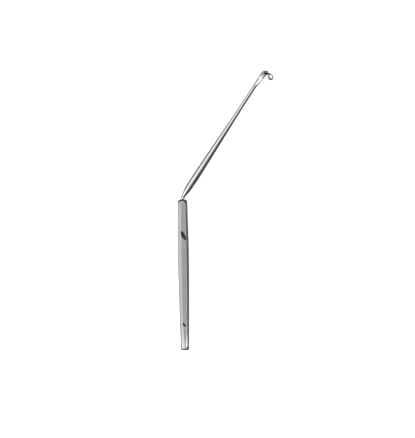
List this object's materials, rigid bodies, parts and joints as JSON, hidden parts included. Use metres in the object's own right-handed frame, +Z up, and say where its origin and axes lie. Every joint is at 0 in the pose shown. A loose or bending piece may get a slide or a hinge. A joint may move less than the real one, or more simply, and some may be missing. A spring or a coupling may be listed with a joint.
{
  "type": "angled loop instrument",
  "caption": "Steel hand instrument: octagonal handle, bent tapering shaft with a rolled tip, and a small oval wire loop.",
  "frame": {"origin": "on the back flat of the handle that the tool lies on, below the middle of the handle's length", "axes": "+Y along the handle towards the shaft, +X to the side that the shaft leans to, +Z up out of the front flat"},
  "size_m": [0.0691, 0.1949, 0.007],
  "materials": {
    "satin_steel": "satin ground stainless steel",
    "polished_steel": "mirror polished stainless steel",
    "loop_steel": "polished wire, faintly drawn",
    "silver_braze": "dull silver braze metal"
  },
  "bodies": {
    "root": {"handle": "satin_steel", "shaft": "polished_steel", "tang_pin": "satin_steel", "neck_braze": "silver_braze", "loop": "loop_steel", "loop_braze": "silver_braze"}
  },
  "joints": []
}
